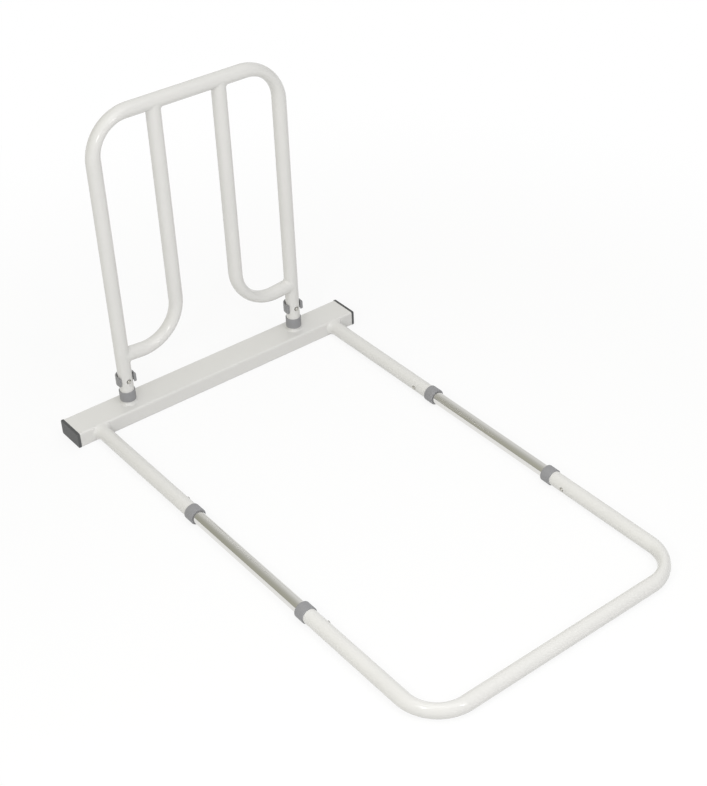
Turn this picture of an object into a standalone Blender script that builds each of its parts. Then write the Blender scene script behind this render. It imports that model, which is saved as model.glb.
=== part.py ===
"""Bed assist bar: a crossbar that lies on the bed base at the mattress edge, a lift-off handle
plugged onto two posts, and a long frame that slides under the mattress.

Metres, +Z up. The origin is the centre of the crossbar's bottom face. The crossbar runs along X,
the under-mattress frame reaches out along -Y, and the handle stands up along +Z.
"""

import math

import bmesh
import bpy
from mathutils import Matrix, Vector

# Clearance between pieces that touch or slide on each other
GAP = 0.0003

# Crossbar: a rectangular steel tube with a plastic cap in each end
BAR_LENGTH = 0.521          # over the two caps
BAR_DEPTH = 0.050
BAR_HEIGHT = 0.025
BAR_WALL = 0.0015
BAR_EDGE_RADIUS = 0.003
CAP_FLANGE = 0.004
CAP_PROUD = 0.0006          # the flange stands past the tube's top and sides, flush underneath
CAP_PLUG = 0.014
CAP_WALL = 0.002

# Round steel tube of the white frames, and the thinner tube that plugs into it
TUBE_OD = 0.022
TUBE_WALL = 0.0012
INNER_WALL = 0.0012

# Frame under the mattress, along the crossbar and away from its centre line
BASE_SPACING = 0.439        # between the axes of the two base tubes
BASE_REACH = 0.2855         # to the faces of the base tubes' collars
CHROME_SHOWN = 0.2423       # bare length of chrome tube between the collars
FAR_REACH = 0.262           # from there to the axis of the far cross tube
FAR_BEND_RADIUS = 0.056
INSERTION = 0.081           # length of chrome tube inside each white tube
BUTTON_SETBACK = 0.0428     # from a collar's face to its snap button

# Handle, its heights measured from the crossbar's top
HANDLE_SPACING = 0.313      # between the axes of the two legs
HANDLE_RISE = 0.4632        # axis of the top rail
HANDLE_BEND_RADIUS = 0.060
COLLAR_RISE = 0.0060        # foot of the leg's collar
BUTTON_RISE = 0.0419
CLIP_RISE = 0.0428          # middle of the locking clip
POST_RISE = 0.070

# Inner grab bars: down from the top rail, then outwards into the legs
GRAB_SPACING = 0.109
GRAB_BEND_RADIUS = 0.064
GRAB_CORNER_RISE = 0.0750   # where the two straight stretches would cross
GRAB_FOOT_RISE = 0.0838     # where the lower stretch meets the leg's axis

# Plastic collars on the open tube ends
COLLAR_WALL = 0.0012
COLLAR_LENGTH = 0.017
COLLAR_LIP = 0.002
COLLAR_EDGE = 0.0008

# Weld fillets
POST_WELD_REACH = 0.0047
POST_WELD_HEIGHT = 0.0055
TUBE_WELD_REACH = 0.0035
TUBE_WELD_LENGTH = 0.005

# Snap buttons on their V-shaped leaf springs
BUTTON_DIAMETER = 0.0066
BUTTON_PROUD = 0.0023       # how far the dome stands out of the white tube
BUTTON_DOME = 0.0016
BUTTON_PLAY = 0.0004        # between the button and the edge of its hole
FLANGE_REACH = 0.0008       # how far the button's flange stands past its side
FLANGE_THICKNESS = 0.0008
SPRING_WIDTH = 0.0064
SPRING_THICKNESS = 0.0007
SPRING_LENGTH = 0.029       # from the button's axis to the bend of the V
SPRING_PAD = 0.006          # flat end of each arm, from the button's axis
SPRING_BEND_RADIUS = 0.0016

# Locking clips snapped round the backs of the handle legs
CLIP_HEIGHT = 0.0145
CLIP_THICKNESS = 0.0023
CLIP_OPENING = 118.0        # degrees left open at the front
CLIP_TAB = 0.0042           # length of each finger tab
CLIP_TAB_TURN = 19.0        # degrees that the tabs lean to the front
PEG_DIAMETER = 0.0050

# How finely round shapes are drawn
TUBE_SIDES = 20
BEND_STEPS = 8
HOLE_SIDES = 16
ARC_STEPS = 4
CLIP_STEPS = 18
SPRING_STEPS = 5

# Fits worked out from the sizes above
TUBE_R = TUBE_OD / 2
TUBE_BORE_R = TUBE_R - TUBE_WALL
INNER_R = TUBE_BORE_R - GAP
INNER_BORE_R = INNER_R - INNER_WALL
FLANGE_R = BUTTON_DIAMETER / 2 + FLANGE_REACH
HOLE_R = BUTTON_DIAMETER / 2 + BUTTON_PLAY
AXIS_HEIGHT = BAR_HEIGHT / 2
BASE_X = BASE_SPACING / 2
HANDLE_X = HANDLE_SPACING / 2
GRAB_X = GRAB_SPACING / 2
FAR_FACE = BASE_REACH + CHROME_SHOWN
FAR_AXIS = FAR_FACE + FAR_REACH
BASE_TUBE_END = BASE_REACH - COLLAR_LIP - GAP
FAR_LEG_END = FAR_FACE + COLLAR_LIP + GAP
INNER_START = BASE_REACH - INSERTION
INNER_END = FAR_FACE + INSERTION
BASE_BUTTON = BASE_REACH - BUTTON_SETBACK
FAR_BUTTON = FAR_FACE + BUTTON_SETBACK
COLLAR_FOOT = BAR_HEIGHT + COLLAR_RISE
LEG_FOOT = COLLAR_FOOT + COLLAR_LIP + GAP
HANDLE_TOP = BAR_HEIGHT + HANDLE_RISE
HANDLE_BUTTON = BAR_HEIGHT + BUTTON_RISE
CLIP_CENTRE = BAR_HEIGHT + CLIP_RISE
POST_TOP = BAR_HEIGHT + POST_RISE

SIDES = {"left": -1, "right": 1}

# Turns that lay a piece's own +Z along the named world direction
ALONG = {
    "+Z": (0.0, 0.0, 0.0),
    "-Y": (math.pi / 2, 0.0, 0.0),
    "+Y": (-math.pi / 2, 0.0, 0.0),
    "+X": (0.0, math.pi / 2, 0.0),
    "-X": (0.0, -math.pi / 2, 0.0),
}


def clear_scene():
    for obj in list(bpy.data.objects):
        bpy.data.objects.remove(obj, do_unlink=True)


def new_collection(name):
    collection = bpy.data.collections.new(name)
    bpy.context.scene.collection.children.link(collection)
    return collection


def new_material(name, colour, roughness, metallic=0.0):
    material = bpy.data.materials.new(name)
    material.use_nodes = True
    shader = material.node_tree.nodes["Principled BSDF"]
    shader.inputs["Base Color"].default_value = (*colour, 1.0)
    shader.inputs["Roughness"].default_value = roughness
    shader.inputs["Metallic"].default_value = metallic
    material.diffuse_color = (*colour, 1.0)
    return material


clear_scene()
PART = new_collection("bed_assist_bar")
CUTTERS = new_collection("cutters")
GROUPS = {}

WHITE_COAT = new_material("white_powder_coat", (0.80, 0.80, 0.77), 0.30)
CHROME = new_material("chrome_plated_steel", (0.78, 0.78, 0.76), 0.08, 1.0)
GREY_PLASTIC = new_material("grey_plastic", (0.28, 0.28, 0.30), 0.45)
CLIP_PLASTIC = new_material("clip_plastic", (0.22, 0.22, 0.23), 0.45)
CAP_PLASTIC = new_material("dark_cap_plastic", (0.09, 0.09, 0.10), 0.50)
BUTTON_STEEL = new_material("button_steel", (0.70, 0.68, 0.62), 0.20, 1.0)
SPRING_STEEL = new_material("spring_steel", (0.45, 0.44, 0.42), 0.35, 1.0)


def new_group(name, location, parent=None):
    """An empty that carries the pieces which move together."""
    empty = bpy.data.objects.new(name, None)
    PART.objects.link(empty)
    empty.location = location
    if parent is not None:
        empty.parent = parent
        empty.location = Vector(location) - GROUPS[parent.name]
    GROUPS[name] = Vector(location)
    return empty


def add_object(name, mesh, material, group, location=(0, 0, 0), rotation=(0, 0, 0)):
    """Link a finished piece, placed in world space under the group that carries it."""
    obj = bpy.data.objects.new(name, mesh)
    PART.objects.link(obj)
    obj.data.materials.append(material)
    obj.parent = group
    obj.location = Vector(location) - GROUPS[group.name]
    obj.rotation_euler = rotation
    return obj


def add_cutter(obj):
    """Keep a helper solid out of the part and show it as wire."""
    for collection in list(obj.users_collection):
        collection.objects.unlink(obj)
    CUTTERS.objects.link(obj)
    obj.hide_render = True
    obj.display_type = "WIRE"
    return obj


def boolean(obj, cutter, operation="DIFFERENCE"):
    modifier = obj.modifiers.new(operation.lower(), "BOOLEAN")
    modifier.operation = operation
    modifier.solver = "EXACT"
    modifier.object = cutter
    return modifier


def smooth_with_edges(mesh, angle=40):
    mesh.shade_smooth()
    mesh.set_sharp_from_angle(angle=math.radians(angle))


def turned_mesh(name, profile, closed):
    """Outline in the XZ plane, at +X, that runs down its outer side from top to bottom."""
    mesh = bpy.data.meshes.new(name)
    count = len(profile)
    edges = [(i, i + 1) for i in range(count - 1)]
    if closed:
        edges.append((count - 1, 0))
    mesh.from_pydata([(r, 0.0, z) for r, z in profile], edges, [])
    return mesh


def add_turned(name, profile, material, group, location, along, closed=True, sides=TUBE_SIDES):
    """A piece turned about its own Z axis with a Screw modifier."""
    mesh = turned_mesh(name, profile, closed)
    obj = add_object(name, mesh, material, group, location, ALONG[along])
    screw = obj.modifiers.new("turn", "SCREW")
    screw.steps = sides
    screw.render_steps = sides
    screw.use_merge_vertices = True
    screw.merge_threshold = 0.00001
    screw.use_smooth_shade = True
    return obj


def filleted(corners, radius, steps=BEND_STEPS):
    """Points along straight stretches joined by arcs of one radius."""
    corners = [Vector(corner) for corner in corners]
    points = [corners[0]]
    for before, corner, after in zip(corners, corners[1:], corners[2:]):
        back = (before - corner).normalized()
        ahead = (after - corner).normalized()
        half = back.angle(ahead) / 2
        start = corner + back * (radius / math.tan(half))
        centre = corner + (back + ahead).normalized() * (radius / math.sin(half))
        arm = start - centre
        axis = back.cross(arm).normalized()
        sweep = math.pi - 2 * half
        for step in range(steps + 1):
            turn = Matrix.Rotation(sweep * step / steps, 3, axis)
            points.append(centre + turn @ arm)
    points.append(corners[-1])
    return points


def extended(points, length):
    """The same run of points with both ends carried on straight."""
    first = points[0] + (points[0] - points[1]).normalized() * length
    last = points[-1] + (points[-1] - points[-2]).normalized() * length
    return [first, *points[1:-1], last]


def rod_mesh(name, points, radius):
    """A solid round bar along the points, as a mesh with welded end caps."""
    curve = bpy.data.curves.new(name, "CURVE")
    curve.dimensions = "3D"
    curve.bevel_depth = radius
    curve.bevel_resolution = (TUBE_SIDES - 4) // 2
    curve.use_fill_caps = True
    spline = curve.splines.new("POLY")
    spline.points.add(len(points) - 1)
    for target, point in zip(spline.points, points):
        target.co = (*point, 1.0)
    holder = bpy.data.objects.new(name, curve)
    CUTTERS.objects.link(holder)
    evaluated = holder.evaluated_get(bpy.context.evaluated_depsgraph_get())
    mesh = bpy.data.meshes.new_from_object(evaluated)
    bpy.data.objects.remove(holder)
    mesh.name = name
    shape = bmesh.new()
    shape.from_mesh(mesh)
    bmesh.ops.remove_doubles(shape, verts=shape.verts, dist=0.00001)
    bmesh.ops.recalc_face_normals(shape, faces=shape.faces)
    shape.to_mesh(mesh)
    shape.free()
    smooth_with_edges(mesh)
    return mesh


def rod_cutter(name, points, radius):
    return add_cutter(bpy.data.objects.new(name, rod_mesh(name, points, radius)))


def cylinder_cutter(name, start, end, radius):
    """A round bar from one point to another, for holes and pegs."""
    start = Vector(start)
    end = Vector(end)
    bpy.ops.mesh.primitive_cylinder_add(
        vertices=HOLE_SIDES, radius=radius, depth=(end - start).length,
        location=(start + end) / 2,
        rotation=(end - start).to_track_quat("Z", "Y").to_euler(),
    )
    obj = bpy.context.object
    obj.name = name
    return add_cutter(obj)


def box_mesh(name, low, high, radius=0.0, open_ends=False):
    """A box between two corners, its four edges along X rounded by the radius."""
    low = Vector(low)
    high = Vector(high)
    frame = Matrix.Translation((low + high) / 2) @ Matrix.Diagonal((*(high - low), 1.0))
    shape = bmesh.new()
    bmesh.ops.create_cube(shape, size=1.0, matrix=frame)
    if open_ends:
        ends = [face for face in shape.faces if abs(face.normal.x) > 0.5]
        bmesh.ops.delete(shape, geom=ends, context="FACES_ONLY")
    if radius > 0:
        long_edges = [edge for edge in shape.edges if runs_along_x(edge)]
        bmesh.ops.bevel(
            shape, geom=long_edges, offset=radius, segments=3, profile=0.5,
            affect="EDGES", material=-1,
        )
    mesh = bpy.data.meshes.new(name)
    shape.to_mesh(mesh)
    shape.free()
    smooth_with_edges(mesh)
    return mesh


def runs_along_x(edge):
    run = edge.verts[0].co - edge.verts[1].co
    return abs(run.x) > abs(run.y) + abs(run.z)


def box_cutter(name, low, high, radius=0.0):
    return add_cutter(bpy.data.objects.new(name, box_mesh(name, low, high, radius)))


def add_bent_tube(name, points, material, group, cope=None):
    """A hollow tube bent along the points, open at both ends, which a cope may shape."""
    mesh = rod_mesh(name, points, TUBE_R)
    mesh.transform(Matrix.Translation(-GROUPS[group.name]))
    obj = add_object(name, mesh, material, group, GROUPS[group.name])
    if cope is not None:
        boolean(obj, cope)
    boolean(obj, rod_cutter(name + "_bore", extended(points, TUBE_OD), TUBE_BORE_R))
    return obj


def strip_mesh(name, points, width, across):
    """A thin band: a run of points drawn out sideways, centred on the run."""
    mesh = bpy.data.meshes.new(name)
    shape = bmesh.new()
    side = Vector(across) * width
    verts = [shape.verts.new(Vector(point) - side / 2) for point in points]
    edges = [shape.edges.new(pair) for pair in zip(verts, verts[1:])]
    drawn = bmesh.ops.extrude_edge_only(shape, edges=edges)
    moved = [item for item in drawn["geom"] if isinstance(item, bmesh.types.BMVert)]
    bmesh.ops.translate(shape, verts=moved, vec=side)
    shape.to_mesh(mesh)
    shape.free()
    smooth_with_edges(mesh)
    return mesh


def thicken(obj, thickness):
    solidify = obj.modifiers.new("thickness", "SOLIDIFY")
    solidify.thickness = thickness
    solidify.offset = 0.0
    solidify.use_even_offset = True
    return solidify


def add_crossbar(group):
    """Rectangular tube, open at both ends where the caps plug in."""
    half = BAR_LENGTH / 2 - CAP_FLANGE - GAP
    mesh = box_mesh(
        "crossbar", (-half, -BAR_DEPTH / 2, 0), (half, BAR_DEPTH / 2, BAR_HEIGHT),
        BAR_EDGE_RADIUS, open_ends=True,
    )
    obj = add_object("crossbar", mesh, WHITE_COAT, group)
    solidify = thicken(obj, BAR_WALL)
    solidify.offset = -1.0
    return obj


def end_span(sign, near, far):
    """Lowest and highest X between two distances from the middle, on one side."""
    return sorted((sign * near, sign * far))


def add_end_cap(side, sign, group):
    """Plastic cap: a flange over the tube's end and a hollow plug inside it."""
    name = side + "_end_cap"
    inner = BAR_LENGTH / 2 - CAP_FLANGE
    low, high = end_span(sign, inner, BAR_LENGTH / 2)
    half_depth = BAR_DEPTH / 2 + CAP_PROUD
    mesh = box_mesh(
        name, (low, -half_depth, 0), (high, half_depth, BAR_HEIGHT + CAP_PROUD), BAR_EDGE_RADIUS
    )
    obj = add_object(name, mesh, CAP_PLASTIC, group)
    play = BAR_WALL + GAP
    low, high = end_span(sign, inner - CAP_PLUG, inner + CAP_FLANGE / 2)
    plug = box_cutter(
        name + "_plug", (low, play - BAR_DEPTH / 2, play),
        (high, BAR_DEPTH / 2 - play, BAR_HEIGHT - play), max(BAR_EDGE_RADIUS - play, 0.0),
    )
    boolean(obj, plug, "UNION")
    wall = play + CAP_WALL
    low, high = end_span(sign, inner - 2 * CAP_PLUG, inner)
    hollow = box_cutter(
        name + "_hollow", (low, wall - BAR_DEPTH / 2, wall),
        (high, BAR_DEPTH / 2 - wall, BAR_HEIGHT - wall),
    )
    boolean(obj, hollow)
    return obj


def arc(centre, radii, first, last):
    """Points of an ellipse in a turned piece's outline, between two angles in degrees."""
    points = []
    for step in range(ARC_STEPS + 1):
        angle = math.radians(first + (last - first) * step / ARC_STEPS)
        points.append((
            centre[0] + radii[0] * math.cos(angle),
            centre[1] + radii[1] * math.sin(angle),
        ))
    return points


def fillet(radius, reach, height):
    """Hollow weld fillet from a tube's wall down to the surface that it stands on."""
    return arc((radius + reach, height), (reach, height), 180, 270)


def add_base_tube(side, sign, group):
    """White tube welded square to the crossbar's front face."""
    start = BAR_DEPTH / 2 + GAP
    length = BASE_TUBE_END - start
    weld = fillet(TUBE_R, TUBE_WELD_REACH, TUBE_WELD_LENGTH)
    profile = [(TUBE_R, length), *weld, (TUBE_BORE_R, 0.0), (TUBE_BORE_R, length)]
    place = (sign * BASE_X, -start, AXIS_HEIGHT)
    obj = add_turned(side + "_base_tube", profile, WHITE_COAT, group, place, "-Y")
    margin = TUBE_WELD_REACH + TUBE_OD
    for edge, low, high in (("top", BAR_HEIGHT, BAR_HEIGHT + margin), ("bottom", -margin, 0.0)):
        cutter = box_cutter(
            f"{side}_weld_{edge}_trim",
            (sign * BASE_X - margin, -start - 2 * TUBE_WELD_LENGTH, low),
            (sign * BASE_X + margin, -start + TUBE_WELD_LENGTH, high),
        )
        boolean(obj, cutter)
    boolean(obj, button_hole(side + "_base_hole", side_button(sign, BASE_BUTTON)))
    return obj


def add_post(side, sign, group):
    """Short upright welded on top of the crossbar, which the handle leg slips over."""
    start = BAR_HEIGHT + GAP
    length = POST_TOP - start
    weld = fillet(INNER_R, POST_WELD_REACH, POST_WELD_HEIGHT)
    profile = [(INNER_R, length), *weld, (INNER_BORE_R, 0.0), (INNER_BORE_R, length)]
    name = side + "_handle_post"
    place = (sign * HANDLE_X, 0, start)
    obj = add_turned(name, profile, WHITE_COAT, group, place, "+Z")
    boolean(obj, button_hole(name + "_hole", front_button(sign)))
    return obj


def add_collar(name, group, face, along):
    """Plastic cup over a tube's end, with a lip that guides the thinner tube.

    Its own +Z points from the lip's face back along the white tube.
    """
    lip_r = INNER_R + GAP
    sleeve_r = TUBE_R + GAP
    outer = sleeve_r + COLLAR_WALL
    edge = (COLLAR_EDGE, COLLAR_EDGE)
    profile = [
        *arc((outer - COLLAR_EDGE, COLLAR_LENGTH - COLLAR_EDGE), edge, 90, 0),
        *arc((outer - COLLAR_EDGE, COLLAR_EDGE), edge, 0, -90),
        (lip_r, 0.0),
        (lip_r, COLLAR_LIP),
        (sleeve_r, COLLAR_LIP),
        (sleeve_r, COLLAR_LENGTH),
    ]
    return add_turned(name, profile, GREY_PLASTIC, group, face, along)


def add_inner_tube(side, sign, group):
    """Chrome tube that joins a base tube to the far frame's leg."""
    length = INNER_END - INNER_START
    profile = [(INNER_R, length), (INNER_R, 0.0), (INNER_BORE_R, 0.0), (INNER_BORE_R, length)]
    name = side + "_inner_tube"
    obj = add_turned(name, profile, CHROME, group, (sign * BASE_X, -INNER_START, AXIS_HEIGHT), "-Y")
    boolean(obj, button_hole(name + "_near_hole", side_button(sign, BASE_BUTTON)))
    boolean(obj, button_hole(name + "_far_hole", side_button(sign, FAR_BUTTON)))
    return obj


def add_far_frame(group):
    """White tube bent into a U, whose legs slip over the chrome tubes."""
    corners = [
        (-BASE_X, -FAR_LEG_END, AXIS_HEIGHT),
        (-BASE_X, -FAR_AXIS, AXIS_HEIGHT),
        (BASE_X, -FAR_AXIS, AXIS_HEIGHT),
        (BASE_X, -FAR_LEG_END, AXIS_HEIGHT),
    ]
    obj = add_bent_tube("u_frame", filleted(corners, FAR_BEND_RADIUS), WHITE_COAT, group)
    for side, sign in SIDES.items():
        boolean(obj, button_hole(side + "_far_hole", side_button(sign, FAR_BUTTON)))
    return obj


def handle_points():
    return filleted(
        [
            (-HANDLE_X, 0, LEG_FOOT),
            (-HANDLE_X, 0, HANDLE_TOP),
            (HANDLE_X, 0, HANDLE_TOP),
            (HANDLE_X, 0, LEG_FOOT),
        ],
        HANDLE_BEND_RADIUS,
    )


def add_handle_frame(group):
    """White tube bent into an upright arch: two legs and the top rail."""
    obj = add_bent_tube("handle_frame", handle_points(), WHITE_COAT, group)
    for side, sign in SIDES.items():
        boolean(obj, button_hole(side + "_leg_hole", front_button(sign)))
        hole = cylinder_cutter(
            side + "_peg_hole", (sign * HANDLE_X, TUBE_BORE_R / 2, CLIP_CENTRE),
            (sign * HANDLE_X, TUBE_OD, CLIP_CENTRE), PEG_DIAMETER / 2 + GAP,
        )
        boolean(obj, hole)
    return obj


def add_grab_bar(side, sign, group, cope):
    """Inner bar from the top rail down and out to the leg, its ends coped to the tubes."""
    corners = [
        (sign * GRAB_X, 0, HANDLE_TOP),
        (sign * GRAB_X, 0, BAR_HEIGHT + GRAB_CORNER_RISE),
        (sign * HANDLE_X, 0, BAR_HEIGHT + GRAB_FOOT_RISE),
    ]
    points = filleted(corners, GRAB_BEND_RADIUS)
    return add_bent_tube(side + "_grab_bar", points, WHITE_COAT, group, cope)


def front_button(sign):
    """Where the button of a handle leg sits, and the way it faces."""
    return (sign * HANDLE_X, 0, HANDLE_BUTTON), "-Y"


def side_button(sign, distance):
    """Where a button of the lower frame sits: both sides face the middle."""
    return (sign * BASE_X, -distance, AXIS_HEIGHT), "+X" if sign < 0 else "-X"


def outward(along):
    axis = "XYZ".index(along[1])
    direction = Vector((0, 0, 0))
    direction[axis] = 1 if along[0] == "+" else -1
    return direction


def button_hole(name, station):
    """Cutter through one wall of a tube where its button comes out."""
    place, along = station
    centre = Vector(place)
    direction = outward(along)
    return cylinder_cutter(
        name, centre + direction * INNER_BORE_R / 2, centre + direction * TUBE_OD, HOLE_R
    )


def flange_height():
    """Distance from the tube's axis at which the button's flange meets the inner wall."""
    return math.sqrt((INNER_BORE_R - GAP) ** 2 - FLANGE_R ** 2)


def add_button(name, station, group):
    """Domed steel button whose flange stays behind the inner tube's wall."""
    radius = BUTTON_DIAMETER / 2
    tip = TUBE_R + BUTTON_PROUD
    shoulder = tip - BUTTON_DOME
    top = flange_height()
    bottom = top - FLANGE_THICKNESS
    profile = [
        *arc((0.0, shoulder), (radius, BUTTON_DOME), 90, 0),
        (radius, top),
        (FLANGE_R, top),
        (FLANGE_R, bottom),
        (0.0, bottom),
    ]
    place, along = station
    return add_turned(
        name, profile, BUTTON_STEEL, group, place, along, closed=False, sides=HOLE_SIDES
    )


def add_spring(name, station, group, deep):
    """V-shaped leaf spring: one arm carries the button, the other bears on the far wall."""
    place, along = station
    out = outward(along)
    deep = outward(deep)
    half = SPRING_THICKNESS / 2
    pad = flange_height() - FLANGE_THICKNESS - GAP - half
    back = half - math.sqrt((INNER_BORE_R - GAP) ** 2 - (SPRING_WIDTH / 2) ** 2)
    bend = (pad + back) / 2
    corners = [
        out * pad - deep * SPRING_PAD,
        out * pad + deep * SPRING_PAD,
        out * bend + deep * SPRING_LENGTH,
        out * back + deep * SPRING_PAD,
        out * back - deep * SPRING_PAD,
    ]
    mesh = strip_mesh(
        name, filleted(corners, SPRING_BEND_RADIUS, SPRING_STEPS), SPRING_WIDTH, out.cross(deep)
    )
    obj = add_object(name, mesh, SPRING_STEEL, group, place)
    thicken(obj, SPRING_THICKNESS)
    return obj


def clip_outline():
    """Centre line of the C, seen from above, with the finger tabs turned out."""
    radius = TUBE_R + GAP + CLIP_THICKNESS / 2
    half_open = CLIP_OPENING / 2
    run = []
    for step in range(CLIP_STEPS + 1):
        angle = math.radians(half_open - 90 + (360 - CLIP_OPENING) * step / CLIP_STEPS)
        run.append(Vector((radius * math.cos(angle), radius * math.sin(angle), 0)))
    turn = math.radians(CLIP_TAB_TURN)
    right_tab = run[0] + Vector((math.cos(turn), -math.sin(turn), 0)) * CLIP_TAB
    left_tab = run[-1] + Vector((-math.cos(turn), -math.sin(turn), 0)) * CLIP_TAB
    return [right_tab, *run, left_tab]


def add_clip(side, sign, group):
    """Springy C-shaped clip round the back of a leg, with a peg in the leg's rear hole."""
    name = side + "_locking_clip"
    mesh = strip_mesh(name, clip_outline(), CLIP_HEIGHT, (0, 0, 1))
    place = (sign * HANDLE_X, 0, CLIP_CENTRE)
    obj = add_object(name, mesh, CLIP_PLASTIC, group, place)
    thicken(obj, CLIP_THICKNESS)
    peg = cylinder_cutter(
        name + "_peg", (sign * HANDLE_X, TUBE_BORE_R + GAP, CLIP_CENTRE),
        (sign * HANDLE_X, TUBE_R + GAP + CLIP_THICKNESS / 2, CLIP_CENTRE), PEG_DIAMETER / 2,
    )
    boolean(obj, peg, "UNION")
    return obj


def build():
    base = new_group("base_group", (0, 0, 0))
    handle = new_group("handle_group", (0, 0, LEG_FOOT), base)
    inner = {
        side: new_group(f"{side}_inner_group", (sign * BASE_X, -INNER_START, AXIS_HEIGHT), base)
        for side, sign in SIDES.items()
    }
    far = new_group("far_group", (-BASE_X, -FAR_LEG_END, AXIS_HEIGHT), inner["left"])
    cope = rod_cutter("handle_cope", handle_points(), TUBE_R + GAP)

    add_crossbar(base)
    add_far_frame(far)
    add_handle_frame(handle)
    for side, sign in SIDES.items():
        add_end_cap(side, sign, base)
        add_base_tube(side, sign, base)
        add_post(side, sign, base)
        add_inner_tube(side, sign, inner[side])
        add_grab_bar(side, sign, handle, cope)
        add_clip(side, sign, handle)

        near = (sign * BASE_X, -BASE_REACH, AXIS_HEIGHT)
        beyond = (sign * BASE_X, -FAR_FACE, AXIS_HEIGHT)
        foot = (sign * HANDLE_X, 0, COLLAR_FOOT)
        add_collar(side + "_base_collar", base, near, "+Y")
        add_collar(side + "_u_collar", far, beyond, "-Y")
        add_collar(side + "_handle_collar", handle, foot, "+Z")

        stations = {
            "handle": (front_button(sign), base, "-Z"),
            "base": (side_button(sign, BASE_BUTTON), inner[side], "-Y"),
            "u": (side_button(sign, FAR_BUTTON), inner[side], "+Y"),
        }
        for where, (station, group, deep) in stations.items():
            add_button(f"{side}_{where}_button", station, group)
            add_spring(f"{side}_{where}_spring", station, group, deep)


build()
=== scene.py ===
# %% [markdown]
# # A bed assist bar, dressed for its portrait
#
# The real object is a steel grab handle that lifts off a crossbar, and a long frame that slides
# under the mattress to hold it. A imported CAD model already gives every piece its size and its
# place, but its tubes have few sides and plain colours.
#
# This lesson keeps that model as a fixed frame and models each visible piece again, finely, in
# the same place. Another way would be to smooth the CAD meshes, but their loose triangles keep
# their flats. Fresh pieces come out round, with bends that are pinched as real ones are.

# %% Load the frame
import math

import bmesh
import bpy
from mathutils import Matrix, Vector
from mathutils.bvhtree import BVHTree


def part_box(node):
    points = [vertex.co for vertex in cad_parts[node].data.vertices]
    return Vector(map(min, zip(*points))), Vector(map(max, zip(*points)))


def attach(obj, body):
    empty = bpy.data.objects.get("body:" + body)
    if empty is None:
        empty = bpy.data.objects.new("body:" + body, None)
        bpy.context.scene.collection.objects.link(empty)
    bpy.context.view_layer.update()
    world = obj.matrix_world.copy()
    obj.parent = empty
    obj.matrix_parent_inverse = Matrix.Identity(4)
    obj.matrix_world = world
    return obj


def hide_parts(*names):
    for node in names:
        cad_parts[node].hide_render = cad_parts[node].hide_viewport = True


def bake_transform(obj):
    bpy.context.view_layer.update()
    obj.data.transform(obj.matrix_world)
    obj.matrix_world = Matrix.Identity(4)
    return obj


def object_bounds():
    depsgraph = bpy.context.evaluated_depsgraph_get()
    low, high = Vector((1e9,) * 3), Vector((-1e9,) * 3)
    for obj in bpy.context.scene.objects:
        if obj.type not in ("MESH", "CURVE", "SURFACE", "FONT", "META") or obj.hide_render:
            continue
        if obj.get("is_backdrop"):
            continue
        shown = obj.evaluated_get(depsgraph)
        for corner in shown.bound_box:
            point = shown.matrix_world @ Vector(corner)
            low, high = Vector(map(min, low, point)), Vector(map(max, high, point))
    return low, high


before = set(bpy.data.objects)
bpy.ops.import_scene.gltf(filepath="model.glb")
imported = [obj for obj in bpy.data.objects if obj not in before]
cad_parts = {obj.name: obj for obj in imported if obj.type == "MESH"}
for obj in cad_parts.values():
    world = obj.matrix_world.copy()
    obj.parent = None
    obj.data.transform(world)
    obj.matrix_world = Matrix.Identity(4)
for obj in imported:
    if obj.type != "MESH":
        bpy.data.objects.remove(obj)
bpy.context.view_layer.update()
MM = 0.001
SIDES = {"left": -1, "right": 1}        # each side's sign along X

# %% [markdown]
# ## Read the sizes from the frame
#
# A size that is typed twice soon disagrees with itself. The box round each CAD node gives the
# tubes' radii, where their axes lie and where their ends are, so these values follow the model.
# Only what a box can't show, such as the radius of a bend, is written here as a number.

# %% Sizes


def middle(node):
    """The centre of a CAD node's box."""
    low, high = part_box(node)
    return (low + high) / 2


bar_low, bar_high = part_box("crossbar")
frame_low, frame_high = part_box("handle_frame")
far_low, far_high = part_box("u_frame")

TUBE_RADIUS = (far_high.z - far_low.z) / 2
TUBE_WALL = 1.2 * MM
INNER_RADIUS = (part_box("left_inner_tube")[1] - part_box("left_inner_tube")[0]).x / 2
AXIS_HEIGHT = middle("left_inner_tube").z
BASE_X = middle("right_inner_tube").x
HANDLE_X = middle("right_handle_post").x
GRAB_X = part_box("right_grab_bar")[0].x + TUBE_RADIUS
RAIL_HEIGHT = frame_high.z - TUBE_RADIUS
FAR_Y = far_low.y + TUBE_RADIUS

HANDLE_BEND = 60 * MM
FAR_BEND = 56 * MM
GRAB_BEND = 64 * MM
GRAB_CORNER = 100.0 * MM    # height at which the grab bar's two straight stretches would cross
GRAB_FOOT = 108.8 * MM      # height at which its lower stretch meets the leg's axis
BUTTON_RADIUS = 3.1 * MM
HOLE_RADIUS = {"handle": 3.9 * MM, "base": 3.35 * MM, "u": 3.35 * MM}
print("tubes, mm:", round(2 * TUBE_RADIUS / MM, 1), "and", round(2 * INNER_RADIUS / MM, 1))

# %% [markdown]
# ## Colours and one helper for nodes
#
# Paint charts and screens give colours as sRGB hex values. Cycles adds up light, so it wants
# linear values, and one function turns the first into the second. Every material is a small
# tree of nodes. One helper adds any kind of node with its settings, values and links, which
# keeps each material's cell about as long as the list of what it does.

# %% Helpers for materials


def linear(hex_colour):
    """Linear red, green, blue and alpha of an sRGB hex colour."""
    channels = [int(hex_colour[i:i + 2], 16) / 255 for i in (1, 3, 5)]
    bent = [c / 12.92 if c <= 0.04045 else ((c + 0.055) / 1.055) ** 2.4 for c in channels]
    return (*bent, 1.0)


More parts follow.
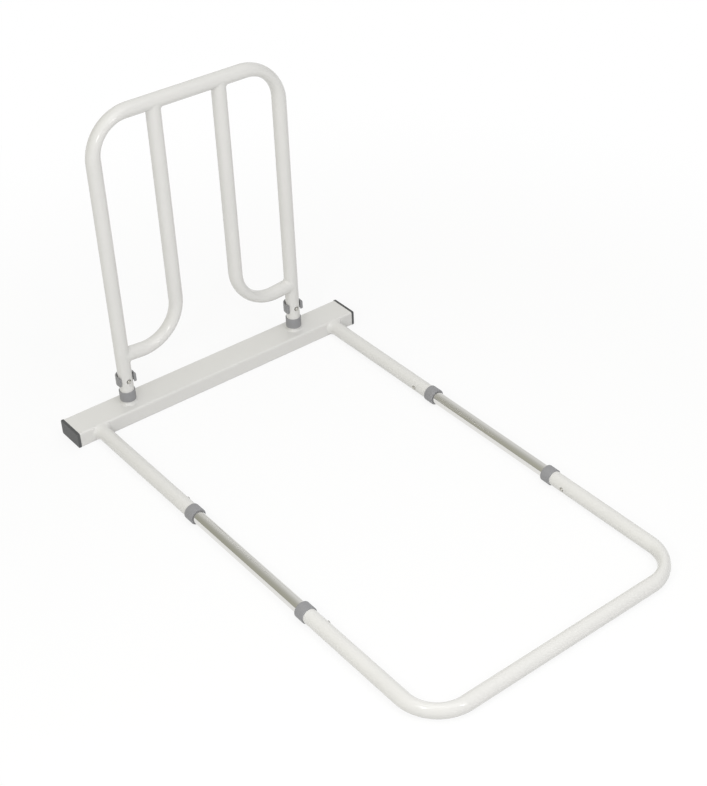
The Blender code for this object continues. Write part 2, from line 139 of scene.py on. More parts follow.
def add_node(tree, kind, values=None, links=None, **settings):
    """Add a node: settings are its own options, values and links go to its sockets."""
    node = tree.nodes.new(kind)
    for name, value in settings.items():
        setattr(node, name, value)
    for socket, value in (values or {}).items():
        node.inputs[socket].default_value = value
    for socket, source in (links or {}).items():
        tree.links.new(source, node.inputs[socket])
    return node


def new_finish(name):
    """An empty material with its output, its shader and the object's own coordinates."""
    finish = bpy.data.materials.new(name)
    finish.use_nodes = True
    tree = finish.node_tree
    shader = tree.nodes["Principled BSDF"]
    place = add_node(tree, "ShaderNodeTexCoord").outputs["Object"]
    return finish, tree, shader, place


# %% [markdown]
# ## White powder coat
#
# The frames are steel tube under a warm white polyester powder coat, sprayed on dry and baked.
# As it melts it levels almost flat, but not quite: a soft gloss with a faint orange peel about
# 2 mm across. A plain white would look like plaster. Two close tones that drift over the tubes
# and a bump at the peel's own scale give the eye the soft, slightly uneven highlights.

# %% The powder coat
PEEL = 2.2 * MM             # from one dimple of the orange peel to the next
DRIFT = 70 * MM             # how slowly the coat's thickness and tone change
white_coat, tree, shader, place = new_finish("white_polyester_powder_coat")
tone = add_node(tree, "ShaderNodeTexNoise", {"Scale": 1 / DRIFT, "Detail": 3.0}, {"Vector": place})
shade = add_node(tree, "ShaderNodeMix", links={"Factor": tone.outputs["Fac"]}, data_type="RGBA")
shade.inputs["A"].default_value = linear("#E6E5E3")
shade.inputs["B"].default_value = linear("#EBEAE8")
gloss = add_node(
    tree, "ShaderNodeMapRange", {"To Min": 0.15, "To Max": 0.21}, {"Value": tone.outputs["Fac"]}
)
peel = add_node(tree, "ShaderNodeTexNoise", {"Scale": 1 / PEEL, "Detail": 1.5}, {"Vector": place})
bump = add_node(
    tree, "ShaderNodeBump", {"Strength": 0.07, "Distance": 0.05 * MM},
    {"Height": peel.outputs["Fac"]},
)
tree.links.new(shade.outputs["Result"], shader.inputs["Base Color"])
tree.links.new(gloss.outputs["Result"], shader.inputs["Roughness"])
tree.links.new(bump.outputs["Normal"], shader.inputs["Normal"])
print(white_coat.name, "with a peel of", PEEL / MM, "mm")

# %% [markdown]
# ## Chrome plate
#
# The inner tubes are drawn steel, polished along their length and chrome plated. Chrome has
# almost no colour of its own: it shows the studio, squeezed into bands along the tube. The
# polishing leaves hair-fine lines along the tube that soften those bands a little, so the
# noise here is stretched along Y, and drawn coarser than real so that it shows at all.

# %% The chrome
chrome, tree, shader, place = new_finish("chrome_plated_drawn_steel")
shader.inputs["Base Color"].default_value = linear("#E0DFDC")
shader.inputs["Metallic"].default_value = 1.0
HAIRLINE = 0.5 * MM
HAIRLINE_RUN = 160 * MM
lines = add_node(
    tree, "ShaderNodeMapping", {"Scale": (1 / HAIRLINE, 1 / HAIRLINE_RUN, 1 / HAIRLINE)},
    {"Vector": place},
)
hair = add_node(
    tree, "ShaderNodeTexNoise", {"Scale": 1.0, "Detail": 2.0}, {"Vector": lines.outputs["Vector"]}
)
polish = add_node(
    tree, "ShaderNodeMapRange", {"To Min": 0.06, "To Max": 0.14}, {"Value": hair.outputs["Fac"]}
)
bump = add_node(
    tree, "ShaderNodeBump", {"Strength": 0.10, "Distance": 0.004 * MM},
    {"Height": hair.outputs["Fac"]},
)
tree.links.new(polish.outputs["Result"], shader.inputs["Roughness"])
tree.links.new(bump.outputs["Normal"], shader.inputs["Normal"])
print(chrome.name, "with hairlines of", HAIRLINE / MM, "mm")

# %% [markdown]
# ## Moulded plastics
#
# All three kinds are injection moulded: the collars in grey polypropylene, the clips in nylon,
# which springs better, and the end caps in dark polyethylene, which is tough when hammered in.
# The steel moulds are spark-eroded, which leaves a fine even grain: it takes the sharpness out
# of reflections, so plastic looks satin next to the paint. The three differ in colour and in
# how coarse the grain is, so one function makes them all.

# %% The plastics
FLOW = 9 * MM               # how slowly the tone drifts, as the melt flowed and cooled
SATIN_SPREAD = 0.06         # how far the roughness swings to either side


def moulded(name, dark, light, grain, roughness):
    """A moulded plastic: two close tones and a spark-eroded grain of that size."""
    finish, tree, shader, place = new_finish(name)
    cloud = add_node(
        tree, "ShaderNodeTexNoise", {"Scale": 1 / FLOW, "Detail": 4.0}, {"Vector": place}
    )
    shade = add_node(
        tree, "ShaderNodeMix", links={"Factor": cloud.outputs["Fac"]}, data_type="RGBA"
    )
    shade.inputs["A"].default_value = linear(dark)
    shade.inputs["B"].default_value = linear(light)
    spark = add_node(
        tree, "ShaderNodeTexNoise", {"Scale": 1 / grain, "Detail": 3.0}, {"Vector": place}
    )
    satin = add_node(
        tree, "ShaderNodeMapRange",
        {"To Min": roughness - SATIN_SPREAD, "To Max": roughness + SATIN_SPREAD},
        {"Value": spark.outputs["Fac"]},
    )
    bump = add_node(
        tree, "ShaderNodeBump", {"Strength": 0.35, "Distance": 0.04 * MM},
        {"Height": spark.outputs["Fac"]},
    )
    tree.links.new(shade.outputs["Result"], shader.inputs["Base Color"])
    tree.links.new(satin.outputs["Result"], shader.inputs["Roughness"])
    tree.links.new(bump.outputs["Normal"], shader.inputs["Normal"])
    print(name, "with a grain of", grain / MM, "mm")
    return finish


collar_plastic = moulded("moulded_grey_polypropylene", "#959598", "#9D9DA0", 0.8 * MM, 0.48)
clip_plastic = moulded("moulded_clip_nylon", "#949496", "#9D9D9F", 0.7 * MM, 0.45)
cap_plastic = moulded("moulded_dark_polyethylene", "#4F5051", "#5A5B5C", 0.9 * MM, 0.50)

# %% [markdown]
# ## Small steel parts
#
# The snap buttons are turned steel with a bright zinc plate, a little yellower and duller than
# chrome. Their leaf springs are plain spring steel, darker, with a satin rolled face. Both are
# metals with a fine noise in the roughness, which breaks up the mirror of a fresh render.

# %% The small steels


def plain_steel(name, colour, roughness, grain):
    """A metal with an even colour and a roughness that varies from grain to grain."""
    finish, tree, shader, place = new_finish(name)
    shader.inputs["Base Color"].default_value = linear(colour)
    shader.inputs["Metallic"].default_value = 1.0
    speckle = add_node(
        tree, "ShaderNodeTexNoise", {"Scale": 1 / grain, "Detail": 2.0}, {"Vector": place}
    )
    satin = add_node(
        tree, "ShaderNodeMapRange", {"To Min": roughness * 0.7, "To Max": roughness * 1.3},
        {"Value": speckle.outputs["Fac"]},
    )
    tree.links.new(satin.outputs["Result"], shader.inputs["Roughness"])
    print(name, "with a roughness of", roughness)
    return finish


button_steel = plain_steel("zinc_plated_turned_steel", "#C4C2BC", 0.19, 0.8 * MM)
spring_steel = plain_steel("rolled_spring_steel", "#8E8A82", 0.42, 1.5 * MM)

# %% [markdown]
# ## From a bmesh to a piece
#
# Each piece is modelled as a bmesh and ends the same way: its faces are turned outwards, a
# wall thickness and any drilled holes are added with modifiers, and the result is applied, so
# that what rides on the frame is a plain mesh. The holes are Booleans, because a round hole
# across a curved wall is just what an operator can't draw. Edges sharper than 30 degrees stay
# crisp, and the rest is shaded smooth.

# %% Making a piece
ROD_SIDES = 40
CRISP = math.radians(30)    # an edge sharper than this is shaded as an edge
WORN = math.radians(50)     # and one sharper than this can be rounded by soften


def rod(start, end, radius):
    """A solid round bar between two points, to drill a hole with or to add as a peg."""
    run = Vector(end) - Vector(start)
    place = Matrix.Translation((Vector(start) + Vector(end)) / 2)
    shape = bmesh.new()
    bmesh.ops.create_cone(
        shape, cap_ends=True, segments=ROD_SIDES, radius1=radius, radius2=radius, depth=run.length,
        matrix=place @ run.to_track_quat("Z", "Y").to_matrix().to_4x4(),
    )
    return shape


def as_object(name, shape):
    """Put a bmesh into the scene as an object of its own, and free the bmesh."""
    mesh = bpy.data.meshes.new(name)
    shape.to_mesh(mesh)
    shape.free()
    made = bpy.data.objects.new(name, mesh)
    bpy.context.scene.collection.objects.link(made)
    return made


def new_piece(name, shape, finish, body, nodes=(), wall=0.0, cuts=(), adds=(), soften=0.0):
    """Turn a bmesh into a piece that rides on a body, if given, and stands for the CAD nodes."""
    bmesh.ops.recalc_face_normals(shape, faces=shape.faces)
    piece = as_object(name, shape)
    tools = []
    if wall:
        solidify = piece.modifiers.new("wall", "SOLIDIFY")
        solidify.thickness = wall
        solidify.offset = -1.0
    for operation, shapes in (("UNION", adds), ("DIFFERENCE", cuts)):
        for tool_shape in shapes:
            tool = as_object("tool", tool_shape)
            tools.append(tool)
            boolean = piece.modifiers.new("tool", "BOOLEAN")
            boolean.operation = operation
            boolean.solver = "EXACT"
            boolean.object = tool
    if soften:
        bevel = piece.modifiers.new("soft edges", "BEVEL")
        bevel.width = soften
        bevel.segments = 2
        bevel.limit_method = "ANGLE"
        bevel.angle_limit = WORN
    ready = piece.evaluated_get(bpy.context.evaluated_depsgraph_get())
    piece.data = bpy.data.meshes.new_from_object(ready)
    piece.modifiers.clear()
    for tool in tools:
        bpy.data.objects.remove(tool)
    piece.data.name = name
    piece.data.materials.clear()
    piece.data.materials.append(finish)
    piece.data.shade_smooth()
    piece.data.set_sharp_from_angle(angle=CRISP)
    if body:
        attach(piece, body)
    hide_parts(*nodes)
    print(f"{name}: {len(piece.data.polygons)} faces")
    return piece


# %% [markdown]
# ## Bending a tube
#
# A tube bender pulls straight tube round a former. The outer wall stretches and sinks in, so
# the tube leaves the bend a little flatter in the plane of the bend: in these cheap thin-walled
# frames by about a fifth at the middle.
#
# A curve with a round bevel would be quicker, but can't pinch. Here a ring of edges is extruded
# along each straight stretch and spun round each bend, and each copy of the ring is squeezed
# towards the bend's own centre as it goes. Where a hole will be drilled the rings stand close
# together, so the cut has small faces round it and the shading stays clean.

# %% Tools for tubes
TUBE_SIDES = 64
BEND_STEPS = 24
PINCH = 0.18                # share of its width that the tube loses at the middle of a bend
SWELL = 0.04                # share that it gains square to the bend
HOLE_REACH = 6 * MM         # how far from a hole's centre the rings stand close together
HOLE_RINGS = 6


def new_ends(geometry):
    """The vertices and the end ring of edges that an extrude has just made."""
    verts = [item for item in geometry if isinstance(item, bmesh.types.BMVert)]
    known = set(verts)
    edges = [
        item for item in geometry
        if isinstance(item, bmesh.types.BMEdge) and known.issuperset(item.verts)
    ]
    return verts, edges


def centre_of(verts):
    """The mean place of some vertices, summed exactly, so that their order can't change it."""
    return Vector([math.fsum(vert.co[axis] for vert in verts) / len(verts) for axis in range(3)])


def go_straight(shape, edges, start, end, holes):
    """Draw the open end from one point to the next, with close rings round each hole."""
    run = end - start
    heading = run.normalized()
    stations = [run.length]
    for hole in holes:
        along = (hole - start).dot(heading)
        beside = (hole - start - heading * along).length
        if HOLE_REACH < along < run.length - HOLE_REACH and beside < TUBE_RADIUS / 2:
            rings = range(-HOLE_RINGS, HOLE_RINGS + 1)
            stations += [along + HOLE_REACH * ring / HOLE_RINGS for ring in rings]
    here = 0.0
    for station in sorted(stations):
        grown = bmesh.ops.extrude_edge_only(shape, edges=edges)
        verts, edges = new_ends(grown["geom"])
        bmesh.ops.translate(shape, verts=verts, vec=heading * (station - here))
        here = station
    return edges


def go_round(shape, edges, pivot, axis, angle):
    """Spin the open end round a bend, pinching each new ring."""
    before = Vector((1.0, 1.0))
    for step in range(1, BEND_STEPS + 1):
        spun = bmesh.ops.spin(
            shape, geom=edges, cent=pivot, axis=axis, angle=angle / BEND_STEPS, steps=1,
        )
        edges = [item for item in spun["geom_last"] if isinstance(item, bmesh.types.BMEdge)]
        verts = list({vert for edge in edges for vert in edge.verts})
        share = math.sin(math.pi * step / BEND_STEPS)
        now = Vector((1 - PINCH * share, 1 + SWELL * share))
        centre = centre_of(verts)
        arm = (centre - pivot).normalized()
        ring_frame = Matrix((arm, axis, arm.cross(axis))).transposed().to_4x4()
        ring_frame.translation = centre
        bmesh.ops.scale(
            shape, vec=(now.x / before.x, now.y / before.y, 1.0),
            space=ring_frame.inverted(), verts=verts,
        )
        before = now
    return edges


def tube_through(corners, bend_radius=0.0, radius=TUBE_RADIUS, holes=()):
    """An open tube that runs from the first corner to the last and bends at those between."""
    corners = [Vector(corner) for corner in corners]
    heading = (corners[1] - corners[0]).normalized()
    turn = heading.to_track_quat("Z", "Y").to_matrix().to_4x4()
    shape = bmesh.new()
    bmesh.ops.create_circle(
        shape, segments=TUBE_SIDES, radius=radius, matrix=Matrix.Translation(corners[0]) @ turn,
    )
    edges = list(shape.edges)
    here = corners[0]
    for corner, after in zip(corners[1:], corners[2:]):
        back = (here - corner).normalized()
        ahead = (after - corner).normalized()
        half = back.angle(ahead) / 2
        start = corner + back * (bend_radius / math.tan(half))
        pivot = corner + (back + ahead).normalized() * (bend_radius / math.sin(half))
        axis = back.cross(start - pivot).normalized()
        edges = go_straight(shape, edges, here, start, holes)
        edges = go_round(shape, edges, pivot, axis, math.pi - 2 * half)
        here = corner + ahead * (bend_radius / math.tan(half))
    go_straight(shape, edges, here, corners[-1], holes)
    return shape


# %% [markdown]
# ## Where the snap buttons are
#
# Six spring-loaded buttons lock the tubes together. Each one is a steel stud that pokes through
# a hole in two tubes at once. The two in the handle face the user, and the four in the lower
# frame face each other, out of the way of the bedding. The CAD model knows their places, so the
# holes are drilled at the buttons' own centres.

# %% Button stations
OUTWARD = {"handle": Vector((0, -1, 0)), "base": Vector((-1, 0, 0)), "u": Vector((-1, 0, 0))}


def button_station(side, where):
    """The point on the tubes' axis behind a button, and the way that the button faces."""
    centre = middle(f"{side}_{where}_button")
    if where == "handle":
        return Vector((centre.x, 0.0, centre.z)), OUTWARD[where]
    sign = SIDES[side]
    return Vector((sign * BASE_X, centre.y, AXIS_HEIGHT)), OUTWARD[where] * sign


def drill(side, where):
    """The bar that cuts a button's hole through the walls on one side of the tubes."""
    centre, outward = button_station(side, where)
    inside = centre + outward * INNER_RADIUS / 2
    outside = centre + outward * 2 * TUBE_RADIUS
    return rod(inside, outside, HOLE_RADIUS[where])


stations = {(side, where): button_station(side, where) for side in SIDES for where in OUTWARD}
print(len(stations), "buttons")

# %% [markdown]
# ## The crossbar
#
# A length of 50 x 25 mm rectangular tube lies along the edge of the bed. Roll-formed tube has
# rounded corners, and the bright line along the top edge in the photograph is the light that
# such a corner catches. The cube's long edges are bevelled to that radius. Each flat face then
# gets a narrow inset, which keeps the smooth shading of the corner from spreading over it.

# %% Crossbar
BAR_WALL = 1.5 * MM
CORNER_RADIUS = 3 * MM
SHADING_MARGIN = 0.6 * MM
LARGE_FACE = 0.002          # square metres: only the crossbar's four flats are larger


def block(low, high):
    """A bmesh box between two corners."""
    shape = bmesh.new()
    place = Matrix.Translation((low + high) / 2) @ Matrix.Diagonal((*(high - low), 1.0))
    bmesh.ops.create_cube(shape, size=1.0, matrix=place)
    return shape


def edges_along_x(shape):
    """The edges that run lengthwise, which are the ones that roll forming rounds."""
    found = []
    for edge in shape.edges:
        run = edge.verts[1].co - edge.verts[0].co
        if abs(run.x) > 0.9 * run.length:
            found.append(edge)
    return found


def keep_flat(shape, smallest_area):
    """Inset each large flat face by a hair, so that it shades flat up to its edge."""
    flats = [face for face in shape.faces if face.calc_area() > smallest_area]
    bmesh.ops.inset_individual(shape, faces=flats, thickness=SHADING_MARGIN, depth=0.0)


shape = block(bar_low, bar_high)
ends = [face for face in shape.faces if abs(face.normal.x) > 0.9]
bmesh.ops.delete(shape, geom=ends, context="FACES_ONLY")
bmesh.ops.bevel(
    shape, geom=edges_along_x(shape), offset=CORNER_RADIUS, segments=8, profile=0.5,
    affect="EDGES", material=-1,
)
keep_flat(shape, LARGE_FACE)
crossbar = new_piece(
    "coated_crossbar", shape, white_coat, "base", ["crossbar"], wall=BAR_WALL,
)

# %% [markdown]
# ## The end caps
#
# A dark moulded cap is knocked into each end of the crossbar. Its flange covers the tube's cut
# end, and its face is plain but for a rounded rim. The flange is a bevelled block. The plug
# inside the tube is an inset of its inner face, extruded inwards.

# %% End caps
RIM_ROUNDING = 1.1 * MM
PLUG_MARGIN = 2.2 * MM
PLUG_CREASE = 0.01 * MM     # a hair-thin border that keeps the plug's foot crisp
FLANGE = 4 * MM
PLUG = 14 * MM


def facing(shape, direction):
    """The flat face that looks the given way, the largest if there are several."""
    found = [face for face in shape.faces if face.normal.dot(direction) > 0.99]
    return max(found, key=lambda face: face.calc_area())


for side, sign in SIDES.items():
    node = f"{side}_end_cap"
    low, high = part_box(node)
    outward = Vector((sign, 0, 0))
    if sign > 0:
        low.x = high.x - FLANGE
    else:
        high.x = low.x + FLANGE
    shape = block(low, high)
    bmesh.ops.bevel(
        shape, geom=edges_along_x(shape), offset=CORNER_RADIUS, segments=6, profile=0.5,
        affect="EDGES", material=-1,
    )
    bmesh.ops.recalc_face_normals(shape, faces=shape.faces)
    rim = list(facing(shape, outward).edges)
    bmesh.ops.bevel(
        shape, geom=rim, offset=RIM_ROUNDING, segments=4, profile=0.5,
        affect="EDGES", material=-1,
    )
    bmesh.ops.inset_region(shape, faces=[facing(shape, outward)], thickness=SHADING_MARGIN)
    plug = facing(shape, -outward)
    bmesh.ops.inset_region(shape, faces=[plug], thickness=PLUG_MARGIN)
    bmesh.ops.inset_region(shape, faces=[plug], thickness=PLUG_CREASE)
    grown = bmesh.ops.extrude_face_region(shape, geom=[plug])["geom"]
    verts = [item for item in grown if isinstance(item, bmesh.types.BMVert)]
    bmesh.ops.translate(shape, verts=verts, vec=-outward * PLUG)
    bmesh.ops.delete(shape, geom=[plug], context="FACES_ONLY")
    new_piece(f"moulded_{node}", shape, cap_plastic, "base", [node])

# %% [markdown]
# ## Weld fillets
#
# Where one tube stands on another, a ring of weld metal fills the corner, and the powder coat
# smooths it over. A torus would look like a rubber ring round the joint. Instead, each ring
# starts on the tube's wall, runs down in a hollow curve to the surface that it is welded to,
# and ends just under that surface.
#
# Where that surface lies is found by shooting a ray at the finished piece, so the same function
# serves for a flat face, a rounded corner and a round rail. Small ripples are the overlapping
# puddles that a welder leaves.

# %% Tools for welds
WELD_SIDES = 96
WELD_STEPS = 7
RIPPLES = 26
RIPPLE_HEIGHT = 0.18 * MM
FULLNESS = 0.45             # 0 for a fillet as hollow as can be, 1 for a flat one
SUNK = 0.08 * MM            # how far the fillet's two edges lie under the surfaces they meet
GRAZE = 0.96                # share of the radius at which the rays are shot, clear of grazing
RAY_START = 0.1             # how many metres up the tube the rays start


def weld_fillet(target, foot, out, radius, climb, spread, tight_sides=1.0):
    """A ring of weld where a tube that runs along out leaves the target piece.

    climb is how far it reaches up the tube and spread how far over the target. tight_sides is
    the share of both that is left beside a round target, where the two walls run together.
    """
    tree = BVHTree.FromPolygons(
        [vert.co for vert in target.data.vertices],
        [tuple(face.vertices) for face in target.data.polygons],
    )
    turn = out.to_track_quat("Z", "Y").to_matrix().to_4x4()
    shape = bmesh.new()
    number = shape.verts.layers.int.new("number")
    ring = bmesh.ops.create_circle(
        shape, segments=WELD_SIDES, radius=radius, matrix=Matrix.Translation(foot) @ turn,
    )["verts"]
    paths = []
    landings = []
    for index, vert in enumerate(ring):
        vert[number] = index
        wall = (vert.co - foot).normalized()
        hit, normal, _, _ = tree.ray_cast(foot + wall * radius * GRAZE + out * RAY_START, -out)
        height = (hit - foot).dot(out)
        slope = normal.dot(out)
        share = tight_sides + (1 - tight_sides) * slope
        seam = foot + wall * radius + out * height
        top = seam + out * climb * share - wall * SUNK
        away = wall * slope - out * (1 - slope)
        away = (away - normal * away.dot(normal)).normalized()
        toe, toe_normal, _, _ = tree.find_nearest(seam + away * spread * share)
        ripple = RIPPLE_HEIGHT * math.sin(2 * math.pi * RIPPLES * index / WELD_SIDES)
        paths.append((top, seam, toe - toe_normal * SUNK, (wall + out).normalized() * ripple))
        landings.append(height)
    edges = list(shape.edges)
    for step in range(WELD_STEPS + 1):
        t = step / WELD_STEPS
        if step:
            _, edges = new_ends(bmesh.ops.extrude_edge_only(shape, edges=edges)["geom"])
        for vert in {vert for edge in edges for vert in edge.verts}:
            top, seam, toe, ripple = paths[vert[number]]
            pull = seam.lerp((top + toe) / 2, FULLNESS)
            hollow = top * (1 - t) ** 2 + pull * 2 * t * (1 - t) + toe * t ** 2
            vert.co = hollow + ripple * math.sin(math.pi * t)
    lowest, highest = round(min(landings) / MM, 1), round(max(landings) / MM, 1)
    print("weld lands between", lowest, "and", highest, "mm")
    return shape


# %% [markdown]
# ## Base tubes and handle posts
#
# Two tubes are welded square to the crossbar's front, and two short posts to its top. Both are
# plain open tube with a drilled hole, so one loop makes each pair.

# %% Base tubes and posts
TUBE_GAP = Vector((0, 0.3 * MM, 0))     # the CAD's clearance between tube and crossbar
BASE_WELD_CLIMB = 9.0 * MM
BASE_WELD_SPREAD = 4.6 * MM
POST_WELD_CLIMB = 6.2 * MM
POST_WELD_SPREAD = 4.4 * MM

for side, sign in SIDES.items():
    socket, _ = stations[side, "base"]
    tube_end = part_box(f"{side}_base_tube")[0].y
    foot = Vector((sign * BASE_X, bar_low.y, AXIS_HEIGHT))
    shape = tube_through(
        [foot - TUBE_GAP, (foot.x, tube_end, AXIS_HEIGHT)], holes=[socket],
    )
    new_piece(
        f"coated_{side}_base_tube", shape, white_coat, "base",
        [f"{side}_base_tube"], wall=TUBE_WALL, cuts=[drill(side, "base")],
    )
    shape = weld_fillet(
        crossbar, foot, Vector((0, -1, 0)), TUBE_RADIUS, BASE_WELD_CLIMB, BASE_WELD_SPREAD,
    )
    new_piece(f"{side}_base_weld", shape, white_coat, "base")

    post, _ = stations[side, "handle"]
    foot = Vector((sign * HANDLE_X, 0, bar_high.z))
    post_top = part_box(f"{side}_handle_post")[1].z
    shape = tube_through([foot, (foot.x, 0, post_top)], radius=INNER_RADIUS, holes=[post])
    new_piece(
        f"coated_{side}_post", shape, white_coat, "base",
        [f"{side}_handle_post"], wall=TUBE_WALL, cuts=[drill(side, "handle")],
    )
    shape = weld_fillet(
        crossbar, foot, Vector((0, 0, 1)), INNER_RADIUS, POST_WELD_CLIMB, POST_WELD_SPREAD,
    )
    new_piece(f"{side}_post_weld", shape, white_coat, "base")

# %% [markdown]
# ## The chrome tubes
#
# The chrome tubes join the base tubes to the far frame, and set how far it reaches under the
# mattress. They are straight open tube with a hole near each end, and the mirror finish shows
# every facet, so the ring has the full number of sides and the cut ends keep their wall.

# %% Chrome tubes
for side, sign in SIDES.items():
    node = f"{side}_inner_tube"
    low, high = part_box(node)
    near, _ = stations[side, "base"]
    far, _ = stations[side, "u"]
    shape = tube_through(
        [(sign * BASE_X, high.y, AXIS_HEIGHT), (sign * BASE_X, low.y, AXIS_HEIGHT)],
        radius=INNER_RADIUS, holes=[near, far],
    )
    new_piece(
        f"chromed_{side}_inner_tube", shape, chrome, f"{side}_inner", [node],
        wall=TUBE_WALL, cuts=[drill(side, "base"), drill(side, "u")],
    )

# %% [markdown]
# ## The far frame
#
# One tube bent into a U lies furthest under the mattress. Its legs slip over the chrome tubes.
# Seen from above in the photograph, the two bends are clearly narrower than the straights, so
# this is the piece that the pinch was written for.

# %% Far frame
corners = [
    (-BASE_X, far_high.y, AXIS_HEIGHT), (-BASE_X, FAR_Y, AXIS_HEIGHT),
    (BASE_X, FAR_Y, AXIS_HEIGHT), (BASE_X, far_high.y, AXIS_HEIGHT),
]
shape = tube_through(corners, FAR_BEND, holes=[stations[side, "u"][0] for side in SIDES])
new_piece(
    "coated_u_frame", shape, white_coat, "far_frame", ["u_frame"],
    wall=TUBE_WALL, cuts=[drill(side, "u") for side in SIDES],
)

# %% [markdown]
# ## The handle
#
# The handle is an arch of the same tube, with two grab bars inside it that give a second place
# to hold. The grab bars run down from the top rail, curve outwards and meet the legs. A welder
# copes such an end, cutting it to the shape of the tube that it meets. A Boolean with a solid
# copy of the arch does the same here, and a tight fillet of weld closes each joint.

# %% Handle frame and grab bars
COPE_GAP = 0.1 * MM
GRAB_WELD_CLIMB = 3.0 * MM
GRAB_WELD_SPREAD = 3.0 * MM
PEG_RADIUS = 2.5 * MM
PEG_CLEARANCE = 0.3 * MM
clip_height = middle("left_locking_clip").z
arch = [
    (-HANDLE_X, 0, frame_low.z), (-HANDLE_X, 0, RAIL_HEIGHT),
    (HANDLE_X, 0, RAIL_HEIGHT), (HANDLE_X, 0, frame_low.z),
]
peg_places = {side: Vector((sign * HANDLE_X, 0, clip_height)) for side, sign in SIDES.items()}
peg_holes = [
    rod(place, place + Vector((0, 2 * TUBE_RADIUS, 0)), PEG_RADIUS + PEG_CLEARANCE)
    for place in peg_places.values()
]
button_holes = [stations[side, "handle"][0] for side in SIDES]
handle = new_piece(
    "coated_handle_frame", tube_through(arch, HANDLE_BEND, holes=button_holes), white_coat,
    "handle", ["handle_frame"], wall=TUBE_WALL,
    cuts=[drill(side, "handle") for side in SIDES] + peg_holes,
)

for side, sign in SIDES.items():
    corner = Vector((sign * GRAB_X, 0, GRAB_CORNER))
    at_rail = Vector((sign * GRAB_X, 0, RAIL_HEIGHT))
    at_leg = Vector((sign * HANDLE_X, 0, GRAB_FOOT))
    solid_arch = tube_through(arch, HANDLE_BEND, radius=TUBE_RADIUS + COPE_GAP)
    bmesh.ops.holes_fill(solid_arch, edges=solid_arch.edges, sides=TUBE_SIDES)
    bmesh.ops.recalc_face_normals(solid_arch, faces=solid_arch.faces)
    new_piece(
        f"coated_{side}_grab_bar", tube_through([at_rail, corner, at_leg], GRAB_BEND),
        white_coat, "handle", [f"{side}_grab_bar"], wall=TUBE_WALL,
        cuts=[solid_arch],
    )
    for where, foot in (("rail", at_rail), ("leg", at_leg)):
        shape = weld_fillet(
            handle, foot, (corner - foot).normalized(), TUBE_RADIUS,
            GRAB_WELD_CLIMB, GRAB_WELD_SPREAD, tight_sides=0.3,
        )
        new_piece(f"{side}_{where}_weld", shape, white_coat, "handle")

# %% [markdown]
# ## Collars
#
# A plastic collar is pushed over the open end of each white tube. It hides the cut edge, and
# its lip guides the thinner tube. It is round all the way, so half of its outline is drawn
# once and spun about the tube's axis. Small arcs round the rims that a hand would feel.

# %% Collars
COLLAR_ROUNDING = 0.9 * MM  # at the outer rim of the lip's face
BACK_SHARE = 0.6            # share of that at the collar's other outer rim
BORE_SHARE = 0.2            # and at the rim of the lip's bore
COLLAR_LIP = 2 * MM
LIP_CLEARANCE = 0.08 * MM
SLEEVE_CLEARANCE = 0.15 * MM
TURNED_SIDES = 96
SAME_POINT = 0.001 * MM


def arc(centre, radii, first, last, steps=5):
    """Points of an outline on an ellipse, between two angles in degrees."""
    points = []
    for step in range(steps + 1):
        angle = math.radians(first + (last - first) * step / steps)
        points.append((
            centre[0] + radii[0] * math.cos(angle), centre[1] + radii[1] * math.sin(angle),
        ))
    return points


def turned(outline, foot, along, closed=True):
    """Spin an outline of radius and height about the line from foot along a direction."""
    shape = bmesh.new()
    verts = [shape.verts.new((radius, 0.0, height)) for radius, height in outline]
    pairs = list(zip(verts, verts[1:] + verts[:1])) if closed else list(zip(verts, verts[1:]))
    edges = [shape.edges.new(pair) for pair in pairs]
    bmesh.ops.spin(
        shape, geom=verts + edges, cent=(0, 0, 0), axis=(0, 0, 1), angle=2 * math.pi,
        steps=TURNED_SIDES, use_merge=True,
    )
    bmesh.ops.remove_doubles(shape, verts=shape.verts, dist=SAME_POINT)
    turn = along.to_track_quat("Z", "Y").to_matrix().to_4x4()
    bmesh.ops.transform(shape, matrix=Matrix.Translation(foot) @ turn, verts=shape.verts)
    return shape


def collar_outline(outer, length):
    """Half of a collar cut along its axis, its lip's face at height 0."""
    front = COLLAR_ROUNDING
    back = COLLAR_ROUNDING * BACK_SHARE
    bore = COLLAR_ROUNDING * BORE_SHARE
    lip = INNER_RADIUS + LIP_CLEARANCE
    sleeve = TUBE_RADIUS + SLEEVE_CLEARANCE
    return [
        *arc((outer - back, length - back), (back, back), 90, 0),
        *arc((outer - front, front), (front, front), 0, -90),
        *arc((lip + bore, bore), (bore, bore), 270, 180, steps=3),
        (lip, COLLAR_LIP), (sleeve, COLLAR_LIP), (sleeve, length),
    ]


COLLARS = {
    "base": ("base", Vector((0, 1, 0))),
    "u": ("far_frame", Vector((0, -1, 0))),
    "handle": ("handle", Vector((0, 0, 1))),
}
for side in SIDES:
    for where, (body, along) in COLLARS.items():
        node = f"{side}_{where}_collar"
        low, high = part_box(node)
        size = high - low
        length = abs(size.dot(along))
        outline = collar_outline(size.x / 2, length)
        shape = turned(outline, (low + high) / 2 - along * length / 2, along)
        new_piece(f"moulded_{node}", shape, collar_plastic, body, [node])

# %% [markdown]
# ## Snap buttons
#
# Each button is a small domed stud with a flange that stops it from jumping out of the tube.
# The dome is what the thumb presses and what catches the light, so it gets a true ellipse in
# its outline and is spun like the collars, on the line that it moves along.

# %% Buttons
DOME_HEIGHT = 1.7 * MM
FLANGE_RADIUS = 4.1 * MM
FLANGE_EDGE = 0.7 * MM      # how thick the flange is at its edge
FLANGE_NECK = 0.9 * MM      # and where it meets the button's side

